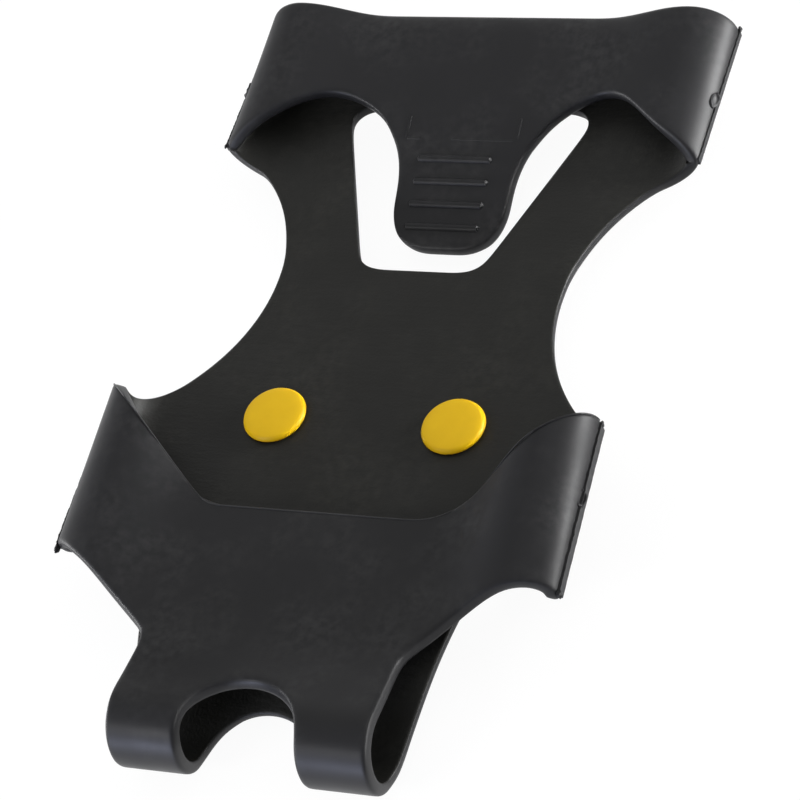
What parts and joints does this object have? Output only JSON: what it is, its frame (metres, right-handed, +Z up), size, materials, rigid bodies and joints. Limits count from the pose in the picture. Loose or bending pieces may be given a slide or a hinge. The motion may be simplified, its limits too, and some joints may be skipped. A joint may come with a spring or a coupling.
{
  "type": "slip-on ice cleat",
  "caption": "Moulded rubber forefoot overshoe with a windowed sole, toe cap, toe loops and heel strap with pull tab, carrying steel ice studs under yellow caps.",
  "frame": {"origin": "tip of the middle stud of the front row, on the ground", "axes": "+X to the picture's right side of the cleat, +Y from the toe to the heel, +Z up out of the sole's inner face"},
  "size_m": [0.1108, 0.1873, 0.0247],
  "materials": {
    "rubber": "moulded satin black",
    "cap_plastic": "satin yellow",
    "stud_steel": "turned steel",
    "tip_carbide": "ground dark grey"
  },
  "bodies": {
    "sole": {"sole_plate": "rubber", "toe_side_left": "rubber", "toe_side_right": "rubber", "heel_side_left": "rubber", "heel_side_right": "rubber", "toe_loop_left": "rubber", "toe_loop_right": "rubber", "stud_cap_front_middle": "cap_plastic", "stud_cap_front_left": "cap_plastic", "stud_cap_front_right": "cap_plastic", "stud_cap_rear_left": "cap_plastic", "stud_cap_rear_right": "cap_plastic", "stud_front_middle": "stud_steel", "stud_front_left": "stud_steel", "stud_front_right": "stud_steel", "stud_rear_left": "stud_steel", "stud_rear_right": "stud_steel", "stud_tip_front_middle": "tip_carbide", "stud_tip_front_left": "tip_carbide", "stud_tip_front_right": "tip_carbide", "stud_tip_rear_left": "tip_carbide", "stud_tip_rear_right": "tip_carbide"},
    "toe_cap": {"toe_cap": "rubber"},
    "heel_strap": {"heel_strap": "rubber"},
    "pull_tab": {"pull_tab": "rubber"}
  },
  "joints": [
    {"name": "toe_cap_lift", "type": "hinge", "parent": "sole", "child": "toe_cap", "pos_m": [0, -0.03943, 0.01902], "axis": [1, 0, 0], "range_deg": [0, 30], "stiffness_Nm_per_rad": 0.05},
    {"name": "heel_strap_lift", "type": "hinge", "parent": "sole", "child": "heel_strap", "pos_m": [0, 0.1365, 0.0143], "axis": [-1, 0, 0], "range_deg": [0, 75], "stiffness_Nm_per_rad": 0.03},
    {"name": "pull_tab_flex", "type": "hinge", "parent": "heel_strap", "child": "pull_tab", "pos_m": [0, 0.11, 0.01453], "axis": [-1, 0, 0], "range_deg": [0, 60], "stiffness_Nm_per_rad": 0.01}
  ]
}
